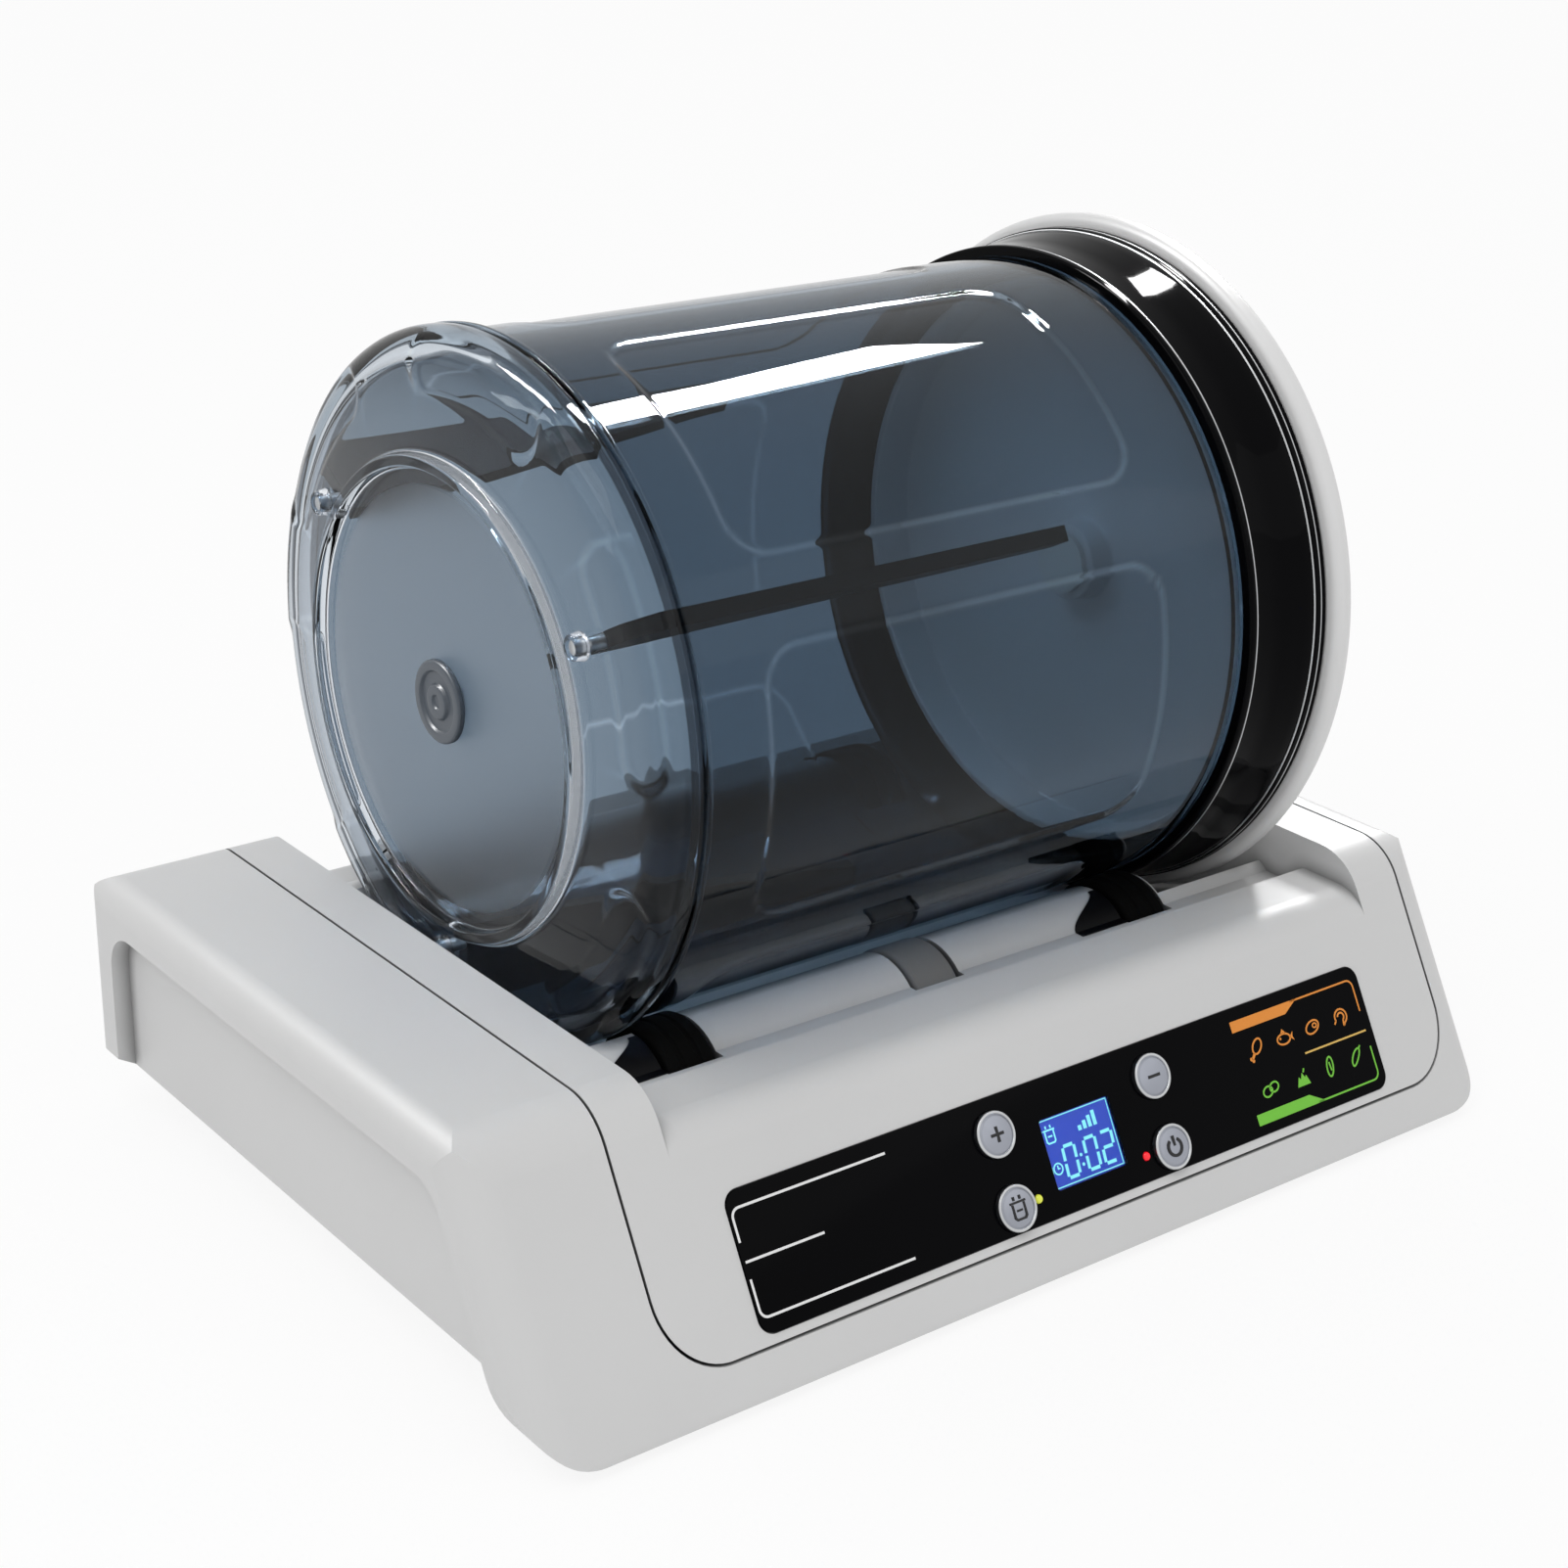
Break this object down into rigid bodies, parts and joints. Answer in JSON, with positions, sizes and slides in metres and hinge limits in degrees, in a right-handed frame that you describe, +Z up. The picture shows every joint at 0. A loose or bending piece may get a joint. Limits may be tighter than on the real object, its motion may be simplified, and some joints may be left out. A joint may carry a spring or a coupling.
{
  "type": "meat vacuum tumbler",
  "caption": "Tabletop vacuum tumbler: a clear drum with a twist-off lid lies on motor-driven rollers in a moulded base with a sloping control panel.",
  "frame": {"origin": "on the table under the feet, at the middle of the overall footprint", "axes": "+X along the drum axis towards the lid, -Y towards the control panel, +Z up"},
  "size_m": [0.382, 0.284, 0.2791],
  "materials": {
    "light_grey": "fine satin",
    "lid_grey": "satin",
    "smoke_clear": "clear smoke tint, polished",
    "gloss_black": "polished",
    "black_plastic": "satin",
    "silver_cap": "silver paint, satin",
    "black_rubber": "matt",
    "grey_roller": "matt",
    "steel": "ground",
    "brass_pin": "plated",
    "bronze_bush": "sintered",
    "white_nylon": "satin",
    "motor_can": "pressed sheet",
    "pump_case": "satin",
    "silicone": "soft, translucent white",
    "board_green": "solder resist",
    "display_blue": "lit display",
    "clear_window": "polished",
    "led_red": "clear tint, lit",
    "led_green": "clear tint, lit"
  },
  "bodies": {
    "base": {"base_housing": "light_grey", "top_cover": "light_grey", "bottom_plate": "light_grey", "rubber_feet": "black_rubber", "bottom_screws": "steel", "control_panel": "gloss_black", "lcd_window": "clear_window", "lcd_module": "display_blue", "control_board": "board_green", "tact_switches": "black_plastic", "power_led": "led_red", "vacuum_led": "led_green", "bearing_blocks": "white_nylon", "shaft_bushes": "bronze_bush", "gear_motor": "motor_can", "motor_bracket": "steel", "vacuum_pump": "pump_case", "vacuum_tube": "silicone", "vacuum_port": "black_plastic", "power_inlet": "black_plastic", "inlet_pins": "brass_pin", "power_board": "board_green"},
    "front_rollers": {"front_shaft": "steel", "front_left_tyre": "black_rubber", "front_right_tyre": "black_rubber", "front_left_hub": "black_plastic", "front_right_hub": "black_plastic", "front_middle_roller": "grey_roller", "driven_gear": "white_nylon"},
    "rear_rollers": {"rear_shaft": "steel", "rear_left_tyre": "black_rubber", "rear_right_tyre": "black_rubber", "rear_left_hub": "black_plastic", "rear_right_hub": "black_plastic"},
    "pinion": {"drive_pinion": "white_nylon"},
    "drum": {"drum_shell": "smoke_clear", "drum_baffle_1": "black_plastic", "drum_baffle_2": "black_plastic", "drum_baffle_3": "black_plastic", "baffle_pins": "steel", "drum_hub_plug": "black_rubber", "drum_collar": "gloss_black"},
    "lid": {"drum_lid": "lid_grey", "lid_seal": "silicone"},
    "valve": {"vacuum_valve": "black_rubber"},
    "plus": {"plus_button": "silver_cap"},
    "minus": {"minus_button": "silver_cap"},
    "vacuum": {"vacuum_button": "silver_cap"},
    "power": {"power_button": "silver_cap"}
  },
  "joints": [
    {"name": "drum_spin", "type": "hinge", "parent": "base", "child": "drum", "pos_m": [0, 0.023, 0.16006], "axis": [1, 0, 0], "continuous": true},
    {"name": "front_roller_spin", "type": "hinge", "parent": "base", "child": "front_rollers", "pos_m": [0, -0.048, 0.052], "axis": [1, 0, 0], "continuous": true},
    {"name": "rear_roller_spin", "type": "hinge", "parent": "base", "child": "rear_rollers", "pos_m": [0, 0.094, 0.052], "axis": [1, 0, 0], "continuous": true},
    {"name": "pinion_spin", "type": "hinge", "parent": "base", "child": "pinion", "pos_m": [0, -0.01707, 0.04429], "axis": [1, 0, 0], "continuous": true},
    {"name": "lid_twist", "type": "hinge", "parent": "drum", "child": "lid", "pos_m": [0, 0.023, 0.16006], "axis": [1, 0, 0], "range_deg": [0, 45]},
    {"name": "valve_press", "type": "slide", "parent": "lid", "child": "valve", "axis": [-1, 0, 0], "range_m": [0, 0.002], "stiffness_N_per_m": 400},
    {"name": "plus_press", "type": "slide", "parent": "base", "child": "plus", "axis": [0, 0.8704, -0.4924], "range_m": [0, 0.0008], "stiffness_N_per_m": 600},
    {"name": "minus_press", "type": "slide", "parent": "base", "child": "minus", "axis": [0, 0.8704, -0.4924], "range_m": [0, 0.0008], "stiffness_N_per_m": 600},
    {"name": "vacuum_press", "type": "slide", "parent": "base", "child": "vacuum", "axis": [0, 0.8704, -0.4924], "range_m": [0, 0.0008], "stiffness_N_per_m": 600},
    {"name": "power_press", "type": "slide", "parent": "base", "child": "power", "axis": [0, 0.8704, -0.4924], "range_m": [0, 0.0008], "stiffness_N_per_m": 600}
  ],
  "couplings": [
    {"joint": "front_roller_spin", "follows": "drum_spin", "ratio": -5.1429},
    {"joint": "rear_roller_spin", "follows": "drum_spin", "ratio": -5.1429},
    {"joint": "pinion_spin", "follows": "drum_spin", "ratio": 10.286}
  ]
}
